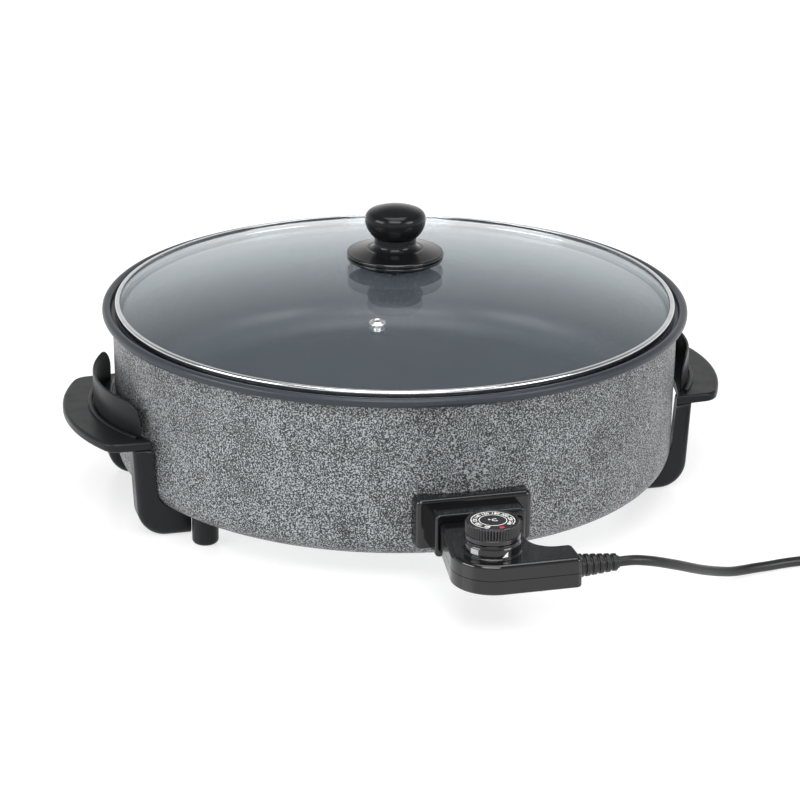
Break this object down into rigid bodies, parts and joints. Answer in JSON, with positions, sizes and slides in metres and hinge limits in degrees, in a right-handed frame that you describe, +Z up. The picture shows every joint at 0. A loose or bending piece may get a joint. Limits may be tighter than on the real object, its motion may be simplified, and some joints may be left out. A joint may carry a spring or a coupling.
{
  "type": "electric paella pan",
  "caption": "Round double-walled electric pan on two handle brackets, with a lift-off domed glass lid and a plug-in thermostat control with a turning dial and a coiled mains lead.",
  "frame": {"origin": "on the table, in the middle of the object's box without its lead", "axes": "+Z up, -Y the side with the control, +X to the right seen from there"},
  "size_m": [0.6111, 0.5132, 0.2075],
  "materials": {
    "non_stick_coat": "satin non-stick coating",
    "hammered_paint": "hammered two-tone paint",
    "plated_sheet": "zinc-plated sheet",
    "plated_steel": "nickel-plated steel",
    "element_sheath": "heat-tinted tube",
    "ceramic": "unglazed ceramic",
    "cast_aluminium": "as cast",
    "brass": "bare",
    "handle_resin": "satin moulded heat-proof resin",
    "foot_rubber": "matt",
    "gloss_black": "polished moulding",
    "lid_glass": "clear tempered",
    "polished_steel": "polished",
    "lamp_glass": "neon lamp",
    "lamp_window": "tinted clear",
    "white_plastic": "moulded",
    "cord_jacket": "satin flexible jacket",
    "dial_black": "satin moulding",
    "dial_print": "printed disc"
  },
  "bodies": {
    "pan": {"inner_pan": "non_stick_coat", "outer_shell": "hammered_paint", "base_cover": "plated_sheet", "base_screws": "plated_steel", "heating_element": "element_sheath", "terminal_pins": "plated_steel", "terminal_block": "ceramic", "earth_strip": "plated_sheet", "probe_guide": "cast_aluminium", "socket_housing": "gloss_black", "socket_screws": "plated_steel", "left_handle": "handle_resin", "right_handle": "handle_resin", "handle_screws": "plated_steel", "foot_posts": "foot_rubber", "foot_screws": "plated_steel"},
    "lid": {"lid_glass": "lid_glass", "lid_band": "polished_steel", "vent_eyelet": "polished_steel", "knob_guard": "gloss_black", "lid_knob": "gloss_black", "knob_screw": "plated_steel", "knob_washer": "foot_rubber"},
    "control": {"upper_casing": "gloss_black", "lower_casing": "gloss_black", "casing_screws": "plated_steel", "probe_tube": "element_sheath", "probe_collar": "brass", "contact_sockets": "brass", "thermostat_base": "ceramic", "bimetal_blade": "brass", "switch_blade": "brass", "contact_points": "plated_steel", "shaft_bush": "brass", "pilot_lamp": "lamp_glass", "pilot_window": "lamp_window", "cord_clamp": "white_plastic", "strain_relief": "cord_jacket", "cord_lead": "cord_jacket", "cord_coil": "cord_jacket", "cord_tail": "cord_jacket", "cord_tie": "cord_jacket", "plug_body": "cord_jacket", "plug_pins": "plated_steel"},
    "dial": {"dial_knob": "dial_black", "dial_scale": "dial_print", "dial_shaft": "plated_steel"}
  },
  "joints": [
    {"name": "lid_lift", "type": "slide", "parent": "pan", "child": "lid", "axis": [0, 0, 1], "range_m": [0, 0.15]},
    {"name": "control_pull", "type": "slide", "parent": "pan", "child": "control", "axis": [0, -1, 0], "range_m": [0, 0.1]},
    {"name": "dial_turn", "type": "hinge", "parent": "control", "child": "dial", "pos_m": [-0.007, -0.22908, 0.07], "axis": [0, 0, -1], "range_deg": [0, 270]}
  ]
}
